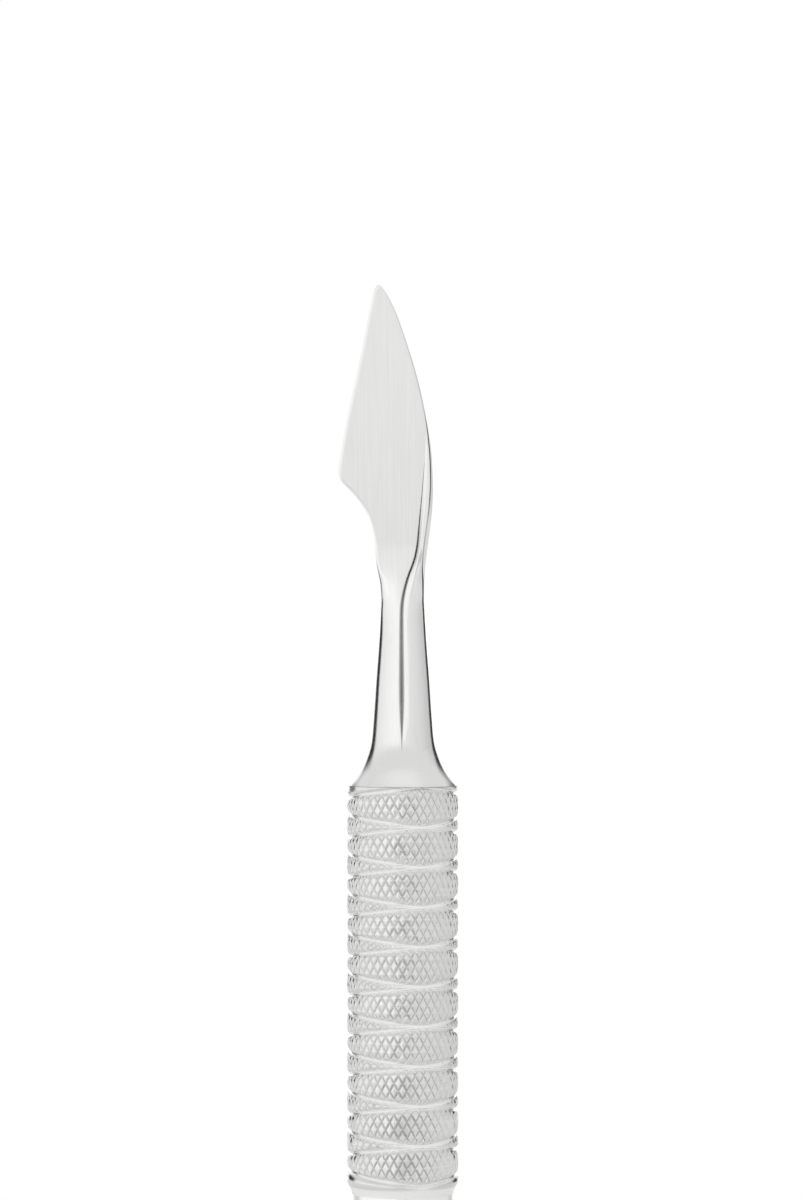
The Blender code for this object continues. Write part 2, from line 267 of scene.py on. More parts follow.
def refine_grip(bm, in_groove, first, last):
    """Cut the flat grid's groove faces into thin strips, and its other grip faces into triangles."""
    faces = [face for face in bm.faces if first < face.calc_center_median().y < last]
    centres = np.array([face.calc_center_median() for face in faces])
    grooved = in_groove(centres[:, 0], centres[:, 1])
    strips = [face for face, inside in zip(faces, grooved) if inside]
    others = [face for face, inside in zip(faces, grooved) if not inside]
    upright = {edge for face in strips for edge in face.edges
               if abs(edge.verts[0].co.x - edge.verts[1].co.x) < SAME_COLUMN}
    bmesh.ops.subdivide_edges(bm, edges=list(upright), cuts=GROOVE_CUTS, use_grid_fill=True)
    bmesh.ops.poke(bm, faces=[face for face in others if face.is_valid])


def wrap(bm, point_at, closed):
    """Bend the flat grid round the axis, join its sides, and close it end to end or fill its end holes."""
    flat = np.array([vert.co for vert in bm.verts])
    for vert, point in zip(bm.verts, point_at(flat[:, 0], flat[:, 1])):
        vert.co = point
    bmesh.ops.remove_doubles(bm, verts=bm.verts, dist=MERGE_DISTANCE)
    if not closed:
        bmesh.ops.holes_fill(bm, edges=[edge for edge in bm.edges if edge.is_boundary], sides=0)
    bmesh.ops.recalc_face_normals(bm, faces=bm.faces)


def add_piece(name, bm, material, replaced, sharp_angle=35.0):
    """Object of one finished piece, which rides on the root and stands in for a CAD piece."""
    mesh = bpy.data.meshes.new(name)
    bm.to_mesh(mesh)
    bm.free()
    mesh.shade_smooth()
    mesh.set_sharp_from_angle(angle=math.radians(sharp_angle))
    mesh.materials.append(material)
    piece = bpy.data.objects.new(name, mesh)
    bpy.context.scene.collection.objects.link(piece)
    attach(piece, "root")
    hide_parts(replaced)
    return piece


# Handle

GROOVE_FLOOR = 0.09 * mm
GROOVE_BAND = 0.24 * mm
GROOVE_CUTS = 2
SHOULDER_LENGTH = 1.15 * mm
SHOULDER_LEAD = 0.2 * mm
MIDDLE_CUTS = 24
MOUTH_RADIUS = 3.4 * mm
BORE_RADIUS = 2.8 * mm
MOUTH_CHAMFER_DEPTH = 1.0 * mm
EDGE_BREAK = 0.02 * mm
CUTS_PER_DIAMOND = 6
DIAMOND_CROWN = 0.045 * mm
WORN_FLAT_START = 17.0 * mm
WORN_FLAT_END = 25.0 * mm
WORN_FLAT_SHARE = 0.7
DIAMOND_TILT = 0.04 * mm
KNURL_REACH = 0.2 * mm
LIP_RADIUS = 3.94 * mm
NORMAL_STEP = 0.002 * mm
CORNER_INSET = 0.15
LEAST_OUTWARD = 0.2


def groove_distances(sizes, depth, angle):
    """Distances to the nearest groove of each hand, and whether the place is between end grooves."""
    turn = ((angle - sizes.crossing_angle) / (2 * np.pi)) % 1.0
    position = depth / sizes.groove_pitch
    falling = np.clip(np.round(position - turn), 0, sizes.groove_turns - 1) + turn
    rising = np.clip(np.round(position + turn), 1, sizes.groove_turns) - turn
    margin = np.minimum(turn, 1 - turn)
    between = (position > margin) & (position < sizes.groove_turns - margin)
    away = [np.abs(position - groove) * sizes.groove_pitch for groove in (falling, rising)]
    return away[0], away[1], between


def scatter(first, second, seed):
    """Repeatable value from -1 to 1 for each pair of whole numbers."""
    wave = np.sin(first * 12.9898 + second * 78.233 + seed) * 43758.5453
    return 2 * (wave - np.floor(wave)) - 1


def knurl_cut(sizes, depth, angle):
    """Depth of the diamond knurl: lines of both hands round crowned tops that tilt a little."""
    across = angle * sizes.knurl_count / (2 * np.pi)
    along = depth / sizes.knurl_length
    hands = (across + along, across - along)
    from_line = np.minimum(*(np.abs(hand - np.round(hand)) for hand in hands))
    groove = np.clip(1 - CUTS_PER_DIAMOND * from_line, 0.0, 1.0)
    cells = [np.floor(hand) % sizes.knurl_count for hand in hands]
    offsets = [hand - np.floor(hand) - 0.5 for hand in hands]
    tilt = sum(scatter(cells[0], cells[1], 3.7 * k) * offsets[k] for k in (0, 1))
    crown = DIAMOND_CROWN * (1 - WORN_FLAT_SHARE * smoothstep(WORN_FLAT_START, WORN_FLAT_END, depth))
    top = crown * (1 - 2 * from_line) ** 2 + DIAMOND_TILT * (0.5 + tilt)
    return top + (sizes.knurl_depth - top) * groove


def grip_radius(sizes, depth, angle):
    """Radius of the grip at a depth below its seam plane and a bearing from the front."""
    falling, rising, between = groove_distances(sizes, depth, angle)
    metal_left = 1.0
    for away in (falling, rising):
        rounded = np.sqrt(away ** 2 + GROOVE_FLOOR ** 2) - GROOVE_FLOOR
        metal_left = metal_left * (1 - np.exp(-rounded / sizes.groove_softness))
    grip_length = sizes.groove_turns * sizes.groove_pitch
    shoulder = smoothstep(grip_length - SHOULDER_LEAD, grip_length - SHOULDER_LEAD + SHOULDER_LENGTH, depth)
    drop = sizes.groove_depth * (1 - metal_left)
    drop = drop + (sizes.waist_depth - drop) * shoulder
    reach = np.clip(1 - drop / KNURL_REACH, 0.0, 1.0) * between
    radius = sizes.crest_radius - drop - knurl_cut(sizes, depth, angle) * reach
    return np.where(between | (depth > grip_length / 2), radius, np.minimum(radius, LIP_RADIUS))


def grip_normals(sizes, depth, angle, way):
    """Outward normals of the grip surface; way is 1 in the upper grip and -1 in the lower one."""
    step = NORMAL_STEP
    radius = grip_radius(sizes, depth, angle)
    turn = step / radius
    rise_round = grip_radius(sizes, depth, angle + turn) - grip_radius(sizes, depth, angle - turn)
    rise_along = grip_radius(sizes, depth + step, angle) - grip_radius(sizes, depth - step, angle)
    slope = rise_round / (2 * step)
    sine, cosine = np.sin(angle), np.cos(angle)
    normals = np.stack([sine - slope * cosine, -cosine - slope * sine, way * rise_along / (2 * step)], axis=1)
    return normals / np.linalg.norm(normals, axis=1)[:, None]


def read_array(items, key, width, kind=float):
    """Rows of one attribute of a mesh's vertices, corners or faces."""
    values = np.empty(len(items) * width, kind)
    items.foreach_get(key, values)
    return values.reshape(-1, width)


def set_grip_normals(mesh, sizes, way, last_depth):
    """Give every corner of the knurled faces the true normal of the surface just inside its own face."""
    corners = read_array(mesh.loops, "vertex_index", 1, int)[:, 0]
    counts = read_array(mesh.polygons, "loop_total", 1, int)[:, 0]
    points = read_array(mesh.vertices, "co", 3)
    centres = np.repeat(read_array(mesh.polygons, "center", 3), counts, axis=0)
    face_normals = np.repeat(read_array(mesh.polygons, "normal", 3), counts, axis=0)
    inside = points[corners] + CORNER_INSET * (centres - points[corners])
    angle = np.arctan2(inside[:, 0], -inside[:, 1])
    depth = SEAM_HEIGHT - way * inside[:, 2]
    bearing = np.stack([np.sin(angle), -np.cos(angle), np.zeros(len(angle))], axis=1)
    outward = (face_normals * bearing).sum(axis=1) > LEAST_OUTWARD
    near_end = (depth < 0.0) | (depth > last_depth)
    knurled = outward & ~near_end
    normals = np.where(knurled[:, None], grip_normals(sizes, depth, angle, way), face_normals)
    mesh.normals_split_custom_set(normals)


def grip_rows(sizes, seam_width):
    """(kind, depth, radius) down the grip's outside and up its bore; the surface gives the noughts."""
    spacing = sizes.knurl_length / CUTS_PER_DIAMOND
    mouth = seam_width / 2
    end = sizes.groove_turns * sizes.groove_pitch + SHOULDER_LENGTH
    count = int(end / spacing)
    rows = [("bore", mouth, MOUTH_RADIUS), ("rim", mouth, 0.0)]
    rows += [("grip", mouth + EDGE_BREAK, 0.0)]
    rows += [("grip", spacing * k, 0.0) for k in range(1, count + 1)]
    rows += [("grip", end, 0.0), ("bore", end, BORE_RADIUS), ("bore", MOUTH_CHAMFER_DEPTH, BORE_RADIUS)]
    return rows + rows[:1]


def make_grip(name, way, sizes, seam_width, material):
    """One knurled grip of the tube: the upper one for way 1, the lower one for way -1."""
    rows = grip_rows(sizes, seam_width)
    outside = [k for k, row in enumerate(rows) if row[0] == "grip"]
    first, last = outside[0], outside[-1]
    depths = np.array([row[1] for row in rows])
    radii = np.array([row[2] for row in rows])
    columns = sizes.knurl_count * CUTS_PER_DIAMOND

    def point_at(column, row):
        angle = 2 * np.pi * (column % columns) / columns
        depth = np.interp(row, np.arange(len(rows)), depths)
        radius = np.interp(row, np.arange(len(rows)), radii)
        knurled = (row > first - SAME_ROW) & (row < last + SAME_ROW)
        surface = grip_radius(sizes, depth, angle)
        radius = np.where(knurled, surface, radius)
        radius = np.where(np.abs(row - first + 1) < SAME_ROW, surface - EDGE_BREAK, radius)
        height = way * (SEAM_HEIGHT - depth)
        return np.stack([radius * np.sin(angle), -radius * np.cos(angle), height], axis=1)

    def in_groove(column, row):
        depth = np.interp(row, np.arange(len(rows)), depths)
        away = groove_distances(sizes, depth, 2 * np.pi * column / columns)
        return np.minimum(away[0], away[1]) < GROOVE_BAND

    bm = grid_for_wrapping(columns, len(rows) - 1)
    refine_grip(bm, in_groove, first, last)
    wrap(bm, point_at, closed=True)
    piece = add_piece(name, bm, material, "handle_tube")
    set_grip_normals(piece.data, sizes, way, depths[last])
    return piece


def make_middle(name, sizes, material):
    """Smooth waist of the tube between the grips: its section is spun round the axis."""
    half = SEAM_HEIGHT - sizes.groove_turns * sizes.groove_pitch - SHOULDER_LENGTH
    outer = sizes.crest_radius - sizes.waist_depth
    section = [(BORE_RADIUS, -half), (outer, -half), (outer, half), (BORE_RADIUS, half)]
    bm = bmesh.new()
    verts = [bm.verts.new((0, -radius, height)) for radius, height in section]
    edges = [bm.edges.new((verts[k], verts[(k + 1) % 4])) for k in range(4)]
    bmesh.ops.subdivide_edges(bm, edges=[edges[1], edges[3]], cuts=MIDDLE_CUTS)
    columns = sizes.knurl_count * CUTS_PER_DIAMOND
    bmesh.ops.spin(bm, geom=bm.verts[:] + bm.edges[:], cent=(0, 0, 0), axis=(0, 0, 1), angle=2 * math.pi,
                   steps=columns, use_merge=True)
    bmesh.ops.remove_doubles(bm, verts=bm.verts, dist=MERGE_DISTANCE)
    bmesh.ops.recalc_face_normals(bm, faces=bm.faces)
    return add_piece(name, bm, material, "handle_tube")


# Tips

FRONT_COLUMNS = 128
BACK_COLUMNS = 72
PUSHER_COLUMNS = 176
TIP_ROW_SPACING = 0.12 * mm
TIP_SHARP_ANGLE = 40.0
TANG_LEAD = 0.5 * mm
COLLAR_RADIUS = 3.92 * mm
SHANK_SOFTNESS = 0.3 * mm
BLADE_SOFTNESS = 0.45 * mm
FLARING_START = -1.0 * mm
FLARING_END = 0.5 * mm
GRIND_START = -1.9 * mm
GRIND_END = 3.9 * mm
EDGE_RISE_START = -3.0 * mm
EDGE_RISE_END = 3.7 * mm
VALLEY_LEFT_SLOPE = 0.38
VALLEY_RIGHT_SLOPE = 0.42
VALLEY_LEFT_CURVE = 1.6
VALLEY_RIGHT_SPREAD = 1.15 * mm
FULL_VALLEY = 0.45 * mm
LEAST_VALLEY = 0.01 * mm
LEAST_WIDTH = 0.02 * mm
GENTLE_SHARE = 0.45
RIB_SHARE = 0.55
STEP_WIDTH = 0.12 * mm
SIDE_SLOPE = 1.3
HONED_WIDTH = 0.22 * mm
HONED_DEPTH = 0.035 * mm
BACK_BEVEL = 0.75
PUSHER_HALF_WIDTH = 2.75 * mm
PUSHER_CUP = 0.25 * mm
PUSHER_CUP_START = 17.0 * mm
PUSHER_CUP_END = 25.0 * mm
PUSHER_ROUND_END = 29.8 * mm
PUSHER_SOFTNESS = 1.0 * mm
SPADE_BLEND = 1.2 * mm
LEAST_END_WIDTH = 0.02
END_ROUNDING = 0.2 * mm
END_ROWS = 12


def shank_radius(distance):
    """Radius of the collar and round shank at a distance from the seam plane."""
    return outline(SHANK_FLARE, distance, SHANK_SOFTNESS)


def tip_rows(sizes, reach):
    """Distances and round radii of the rows from the tang to the end, and how many are the tang's."""
    under = sizes.seam_width / 2
    lip = under + EDGE_BREAK
    tang = [(-sizes.tang_length, sizes.tang_radius - TANG_LEAD),
            (TANG_LEAD - sizes.tang_length, sizes.tang_radius),
            (under, sizes.tang_radius), (under, COLLAR_RADIUS - EDGE_BREAK)]
    count = int(reach / TIP_ROW_SPACING)
    body = np.linspace(lip, reach, count)
    distances = np.concatenate([[row[0] for row in tang], body])
    radii = np.concatenate([[row[1] for row in tang], shank_radius(body)])
    return distances, radii, len(tang)


def blade_section(sizes, distance, side, across):
    """(x, y) of the blade tip's section; side is -1 front and 1 back, across is 0 left and 1 right."""
    neck = sizes.shank_length
    round_radius = shank_radius(distance)
    flaring = smoothstep(neck + FLARING_START, neck + FLARING_END, distance)
    left = -round_radius + (outline(BLADE_LEFT, distance, BLADE_SOFTNESS) + round_radius) * flaring
    right = round_radius + (outline(BLADE_RIGHT, distance, BLADE_SOFTNESS) - round_radius) * flaring
    valley = outline(VALLEY_LINE, distance)
    ground = smoothstep(neck + GRIND_START, neck + GRIND_END, distance)
    spine = outline(SPINE_THICKNESS, distance)
    rib = outline(RIB_HEIGHT, distance)

    # Columns gather at both edges, and on the front at the valley too
    half = np.where(across < 0.5, across * 2, across * 2 - 1)
    eased = (1 - np.cos(np.pi * half)) / 2
    front_x = np.where(across < 0.5, left + (valley - left) * eased, valley + (right - valley) * eased)
    back_x = left + (right - left) * (1 - np.cos(np.pi * across)) / 2
    x = np.where(side < 0, front_x, back_x)

    # The round shank's left edge comes forward while the flat grind takes the left lobe
    centre, reach = (left + right) / 2, (right - left) / 2
    arch = np.sqrt(np.clip(1 - ((x - centre) / reach) ** 2, 0.0, 1.0))
    valley_arch = np.sqrt(np.clip(1 - ((valley - centre) / reach) ** 2, 0.0, 1.0))
    edge_y = -sizes.face_depth * smoothstep(neck + EDGE_RISE_START, neck + EDGE_RISE_END, distance)
    left_front, valley_front = (edge_y - (round_radius + edge_y) * rise for rise in (arch, valley_arch))
    shoulder_width = np.maximum(outline(LEFT_SHOULDER_WIDTH, distance), LEAST_WIDTH)
    shoulder = np.clip((x - left) / shoulder_width, 0.0, 1.0)
    ground_left = edge_y - (sizes.face_depth + edge_y) * np.sqrt(1 - (1 - shoulder) ** 2)
    left_front += (ground_left - left_front) * ground
    valley_front += (-sizes.face_depth - valley_front) * ground
    right_lobe = -round_radius * arch
    right_lobe += (-sizes.face_depth - rib - right_lobe) * ground

    # The right lobe climbs from the valley to its crest, then drops by a step and a bevel to the edge
    from_valley = x - valley
    wall = np.minimum(outline(SIDE_WALL_WIDTH, distance), 0.5 * (right - valley))
    crest = right - wall
    climb = smoothstep(0.0, 1.0, from_valley / np.maximum(RIB_SHARE * (crest - valley), LEAST_WIDTH))
    right_front = valley_front + (right_lobe - valley_front) * climb
    past_crest = np.maximum(x - crest, 0.0)
    step = outline(CREST_STEP, distance)
    fall, side_drop = (step * smoothstep(0.0, STEP_WIDTH, far) + SIDE_SLOPE * far ** 2 / (far + STEP_WIDTH)
                       for far in (past_crest, wall))
    right_front += fall * ground

    # The valley's groove has steep walls, and on the round shank a gentle spread to its right
    valley_depth = np.maximum(outline(VALLEY_DEPTH, distance), 0.0)
    left_width = VALLEY_LEFT_SLOPE * valley_depth + LEAST_VALLEY
    right_width = VALLEY_RIGHT_SLOPE * valley_depth + LEAST_VALLEY
    inner = np.clip(1 + from_valley / left_width, 0.0, 1.0) ** VALLEY_LEFT_CURVE
    steep = np.clip(1 - from_valley / right_width, 0.0, 1.0) ** 2
    spread = VALLEY_RIGHT_SPREAD * np.clip(valley_depth / FULL_VALLEY, 0.1, 1.0)
    gentle = np.clip(1 - from_valley / spread, 0.0, 1.0) ** 2
    outer = steep + GENTLE_SHARE * (gentle - steep) * (1 - ground)
    dip = np.where(from_valley < 0, inner, outer) * valley_depth
    honed = np.clip(1 - (x - left) / HONED_WIDTH, 0.0, 1.0)
    front = np.where(from_valley < 0, left_front, right_front) + dip
    front += HONED_DEPTH * honed ** 2 * ground

    # The back thickens from the cutting edge to the spine, then rounds over to the right edge
    t = (x - left) / (right - left)
    edge = sizes.edge_thickness
    spine_y = -sizes.face_depth + edge + (spine - edge) * np.minimum(t / BACK_BEVEL, 1.0)
    right_y = -sizes.face_depth - rib + side_drop
    over = np.clip((t - BACK_BEVEL) / (1 - BACK_BEVEL), 0.0, 1.0) ** 2
    flat_back = spine_y + (right_y - spine_y) * over
    left_share = np.clip(1 - 2 * t, 0.0, 1.0) * edge_y
    back = round_radius * arch + left_share
    back += (flat_back - back) * ground
    return x, np.where(side < 0, front, back)


def make_blade(name, sizes, material):
    """Tang, collar, grooved shank and ground blade, wrapped from one grid."""
    distances, radii, tang_count = tip_rows(sizes, BLADE_REACH)
    columns = FRONT_COLUMNS + BACK_COLUMNS

    def point_at(column, row):
        row = np.round(row).astype(int)
        column = np.round(column).astype(int) % columns
        distance = distances[row]
        front = column <= FRONT_COLUMNS
        across = np.where(front, column / FRONT_COLUMNS, (columns - 1 - column) / (BACK_COLUMNS - 1))
        x, y = blade_section(sizes, distance, np.where(front, -1, 1), across)
        turned = row < tang_count
        spread = np.where(front, across, 2 - across) * np.pi
        x = np.where(turned, -radii[row] * np.cos(spread), x)
        y = np.where(turned, -radii[row] * np.sin(spread), y)
        return np.stack([x, y, SEAM_HEIGHT + distance], axis=1)

    bm = grid_for_wrapping(columns, len(distances) - 1)
    wrap(bm, point_at, closed=False)
    return add_piece(name, bm, material, "blade_tip", TIP_SHARP_ANGLE)


def make_pusher(name, sizes, material):
    """Tang, collar, shank and cupped spade, wrapped from one grid."""
    distances, radii, tang_count = tip_rows(sizes, PUSHER_REACH)
    kept = distances < PUSHER_REACH - END_ROUNDING
    end_rows = PUSHER_REACH - END_ROUNDING * np.linspace(1, 0, END_ROWS) ** 2
    distances = np.concatenate([distances[kept], end_rows])
    radii = np.concatenate([radii[kept], shank_radius(end_rows)])

    def point_at(column, row):
        row = np.round(row).astype(int)
        angle = 2 * np.pi * (np.round(column) % PUSHER_COLUMNS) / PUSHER_COLUMNS
        distance = distances[row]
        turned = row < tang_count
        neck = sizes.shank_length
        spade = smoothstep(neck - SPADE_BLEND, neck + SPADE_BLEND, distance)
        wide = radii[row] + (outline(PUSHER_WIDTH, distance) - radii[row]) * spade
        flat = outline(PUSHER_THICKNESS, distance, PUSHER_SOFTNESS)
        thick = 2 * radii[row] + (flat - 2 * radii[row]) * spade
        past = np.clip((distance - PUSHER_ROUND_END) / (PUSHER_REACH - PUSHER_ROUND_END), 0.0, 1.0)
        wide = wide * np.sqrt(np.clip(1 - past ** 2, LEAST_END_WIDTH ** 2, 1.0))
        cup = PUSHER_CUP * smoothstep(PUSHER_CUP_START, PUSHER_CUP_END, distance)
        x = -wide * np.cos(angle)
        y = -thick / 2 * np.sin(angle) + cup * (1 - (x / PUSHER_HALF_WIDTH) ** 2)
        x = np.where(turned, -radii[row] * np.cos(angle), x)
        y = np.where(turned, -radii[row] * np.sin(angle), y)
        return np.stack([x, y, -SEAM_HEIGHT - distance], axis=1)

    bm = grid_for_wrapping(PUSHER_COLUMNS, len(distances) - 1)
    wrap(bm, point_at, closed=False)
    return add_piece(name, bm, material, "pusher_tip", TIP_SHARP_ANGLE)


# Finishes

LINE_SCALE = 900.0
LONG_STRETCH = (9.0, 9.0, 0.16)
ROUND_STRETCH = (0.35, 0.35, 14.0)
SMUDGE_SCALE = 320.0
SMUDGE_STRETCH = (1.0, 1.0, 0.45)
SCRATCH_SCALE = 420.0
SCRATCH_STRETCH = (1.0, 1.0, 0.22)
# Painted shade in the knurl lines, and where the painted highlight of the groove floors starts, by depth
# below the crests
RECESS_SHADE_GAIN = 2.5
GROOVE_HIGHLIGHT_START = 0.33
GROOVE_HIGHLIGHT_GAIN = 5.0
LINE_SHADE = 0.35
SMUDGE_SHADE = 0.45
SCRATCH_SHADE = 0.5
SCRATCH_RELIEF = 0.3
RELIEF_DISTANCE = 0.02 * mm
MEAN_SPREAD = 0.75
# Painted highlight: how much brighter the groove floors and waist are painted, then how dark the painted
# shade of the knurl lines is
GROOVE_HIGHLIGHT_BRIGHTNESS = 1.06
RECESS_SHADE_DARKNESS = 0.7


def effect_group(name, inputs, outputs):
    """Shader node group with named float inputs and outputs, and its input and output nodes."""
    group = bpy.data.node_groups.new(name, "ShaderNodeTree")
    for label, default in inputs:
        socket = group.interface.new_socket(name=label, in_out="INPUT", socket_type="NodeSocketFloat")
        socket.default_value = default
    for label in outputs:
        group.interface.new_socket(name=label, in_out="OUTPUT", socket_type="NodeSocketFloat")
    return group, group.nodes.new("NodeGroupInput"), group.nodes.new("NodeGroupOutput")


def math_node(tree, operation, first, second=None, clamp=False):
    """Output of a new maths node, fed by sockets or by plain numbers."""
    node = tree.nodes.new("ShaderNodeMath")
    node.operation = operation
    node.use_clamp = clamp
    for socket, value in zip(node.inputs, (first, second)):
        if value is None:
            continue
        if isinstance(value, (int, float)):
            socket.default_value = value
        else:
            tree.links.new(value, socket)
    return node.outputs[0]


def noise_node(tree, vector, scale, detail=2.0, roughness=0.5):
    """Output of a new noise texture at the vector."""
    node = tree.nodes.new("ShaderNodeTexNoise")
    node.inputs["Scale"].default_value = scale
    node.inputs["Detail"].default_value = detail
    node.inputs["Roughness"].default_value = roughness
    tree.links.new(vector, node.inputs["Vector"])
    return node.outputs["Fac"]


def stretched(tree, vector, scale):
    """The vector, scaled along each axis."""
    node = tree.nodes.new("ShaderNodeMapping")
    node.inputs["Scale"].default_value = scale
    tree.links.new(vector, node.inputs["Vector"])
    return node.outputs["Vector"]


def polishing_lines_group():
    """Fine lines along the tool and round it, mixed by the group's input."""
    group, given, result = effect_group("polishing_lines", [("Round Share", 0.5)], ["Height", "Mask"])
    place = group.nodes.new("ShaderNodeTexCoord").outputs["Object"]
    long_lines = noise_node(group, stretched(group, place, LONG_STRETCH), LINE_SCALE, 3.0, 0.6)
    round_lines = noise_node(group, stretched(group, place, ROUND_STRETCH), LINE_SCALE, 3.0, 0.6)
    share = given.outputs["Round Share"]
    other = math_node(group, "SUBTRACT", 1.0, share)
    mixed = math_node(group, "ADD", math_node(group, "MULTIPLY", long_lines, other),
                      math_node(group, "MULTIPLY", round_lines, share))
    group.links.new(mixed, result.inputs["Height"])
    contrast = math_node(group, "MULTIPLY", math_node(group, "SUBTRACT", mixed, 0.5), 3.0)
    group.links.new(math_node(group, "ADD", contrast, 0.5, clamp=True), result.inputs["Mask"])
    return group


def handling_marks_group():
    """Broad cloudy smudges and a few fine hairline scratches."""
    group, given, result = effect_group("handling_marks", [("Amount", 1.0)], ["Smudge", "Scratch"])
    place = group.nodes.new("ShaderNodeTexCoord").outputs["Object"]
    smudge = noise_node(group, stretched(group, place, SMUDGE_STRETCH), SMUDGE_SCALE, 3.0, 0.55)
    group.links.new(math_node(group, "MULTIPLY", smudge, given.outputs["Amount"]), result.inputs["Smudge"])
    cells = group.nodes.new("ShaderNodeTexVoronoi")
    cells.feature = "DISTANCE_TO_EDGE"
    cells.inputs["Scale"].default_value = SCRATCH_SCALE
    group.links.new(stretched(group, place, SCRATCH_STRETCH), cells.inputs["Vector"])
    near = math_node(group, "SUBTRACT", 0.02, cells.outputs["Distance"])
    thin = math_node(group, "MULTIPLY", near, 50.0, clamp=True)
    patchy = math_node(group, "MULTIPLY", math_node(group, "SUBTRACT", smudge, 0.52), 8.0, clamp=True)
    group.links.new(math_node(group, "MULTIPLY", thin, patchy), result.inputs["Scratch"])
    return group


def crest_polish_and_painted_light_group():
    """Shares of polished crest, of painted shade in the knurl lines and groove walls, and of a painted
    highlight on the groove floors and waist, by distance from the axis.
    """
    inputs = [("Groove Radius", 3.6 * mm), ("Crest Radius", 4.0 * mm)]
    group, given, result = effect_group("crest_polish_and_painted_light", inputs, ["Crest", "Line", "Groove"])
    place = group.nodes.new("ShaderNodeTexCoord").outputs["Object"]
    parts = group.nodes.new("ShaderNodeSeparateXYZ")
    group.links.new(place, parts.inputs[0])
    across = [parts.outputs[axis] for axis in ("X", "Y")]
    squares = [math_node(group, "MULTIPLY", side, side) for side in across]
    radius = math_node(group, "SQRT", math_node(group, "ADD", squares[0], squares[1]))
    span = math_node(group, "SUBTRACT", given.outputs["Crest Radius"], given.outputs["Groove Radius"])
    above = math_node(group, "SUBTRACT", radius, given.outputs["Groove Radius"])
    crest = math_node(group, "DIVIDE", above, span, clamp=True)
    group.links.new(crest, result.inputs["Crest"])
    sunk = math_node(group, "SUBTRACT", 1.0, crest)
    # Painted shade: this share grows as the surface sinks below the crests, and darkens the knurl lines and
    # groove walls
    group.links.new(math_node(group, "MULTIPLY", sunk, RECESS_SHADE_GAIN, clamp=True), result.inputs["Line"])
    # Painted highlight: the deepest places, groove floors and the waist, get a brighter colour
    deep = math_node(group, "SUBTRACT", sunk, GROOVE_HIGHLIGHT_START)
    groove = math_node(group, "MULTIPLY", deep, GROOVE_HIGHLIGHT_GAIN, clamp=True)
    group.links.new(groove, result.inputs["Groove"])
    return group


def effect(name, build):
    """The named node group, made by build the first time."""
    return bpy.data.node_groups.get(name) or build()


def place_group(tree, group, **values):
    """New node of a group, with values for its inputs."""
    node = tree.nodes.new("ShaderNodeGroup")
    node.node_tree = group
    for label, value in values.items():
        node.inputs[label.replace("_", " ")].default_value = value
    return node


def metal(name, color, dark_share, roughness, roughness_spread, round_share, bump, polish_and_light_radii=None):
    """Bright metal whose colour, polish and fine relief all vary over the surface; when radii are given, its
    colour also gets painted shade in the knurl lines and a painted highlight on the groove floors and waist.
    """
    material = bpy.data.materials.new(name)
    material.use_nodes = True
    tree = material.node_tree
    shader = tree.nodes["Principled BSDF"]
    shader.inputs["Metallic"].default_value = 1.0
    lines = place_group(tree, effect("polishing_lines", polishing_lines_group), Round_Share=round_share)
    marks = place_group(tree, effect("handling_marks", handling_marks_group), Amount=1.0)

    shade = math_node(tree, "MULTIPLY", lines.outputs["Mask"], LINE_SHADE)
    smudges = math_node(tree, "MULTIPLY", marks.outputs["Smudge"], SMUDGE_SHADE)
    shade = math_node(tree, "ADD", shade, smudges)
    scratches = math_node(tree, "MULTIPLY", marks.outputs["Scratch"], SCRATCH_SHADE)
    shade = math_node(tree, "ADD", shade, scratches)
    if polish_and_light_radii:
        polish_and_painted_light = place_group(tree, effect("crest_polish_and_painted_light", crest_polish_and_painted_light_group),
                           Groove_Radius=polish_and_light_radii[0], Crest_Radius=polish_and_light_radii[1])
        # Painted shade: the knurl lines and groove walls are painted darker by how far they sink below the
        # crests
        painted_recess_shade = math_node(tree, "MULTIPLY", polish_and_painted_light.outputs["Line"], RECESS_SHADE_DARKNESS)
        shade = math_node(tree, "ADD", shade, painted_recess_shade)
    dark = (*(channel * dark_share for channel in color), 1.0)
    shown = mix_colors(tree, shade, (*color, 1.0), dark)
    # Painted highlight: groove floors and the waist are painted brighter than the rest of the steel
    if polish_and_light_radii:
        bright = (*(min(channel * GROOVE_HIGHLIGHT_BRIGHTNESS, 1.0) for channel in color), 1.0)
        shown = mix_colors(tree, polish_and_painted_light.outputs["Groove"], shown, bright)
    tree.links.new(shown, shader.inputs["Base Color"])

    spread = math_node(tree, "MULTIPLY", marks.outputs["Smudge"], roughness_spread)
    lined = math_node(tree, "MULTIPLY", lines.outputs["Mask"], roughness_spread / 2)
    spread = math_node(tree, "ADD", spread, lined)
    if polish_and_light_radii:
        polished = math_node(tree, "MULTIPLY", polish_and_painted_light.outputs["Crest"], roughness_spread / 2)
        spread = math_node(tree, "SUBTRACT", spread, polished)
    rough = math_node(tree, "ADD", spread, roughness - MEAN_SPREAD * roughness_spread, clamp=True)
    tree.links.new(rough, shader.inputs["Roughness"])

    relief = tree.nodes.new("ShaderNodeBump")
    relief.inputs["Strength"].default_value = bump
    relief.inputs["Distance"].default_value = RELIEF_DISTANCE
    cut = math_node(tree, "MULTIPLY", marks.outputs["Scratch"], SCRATCH_RELIEF)
    height = math_node(tree, "SUBTRACT", lines.outputs["Height"], cut)
    tree.links.new(height, relief.inputs["Height"])
    tree.links.new(relief.outputs["Normal"], shader.inputs["Normal"])
    return material


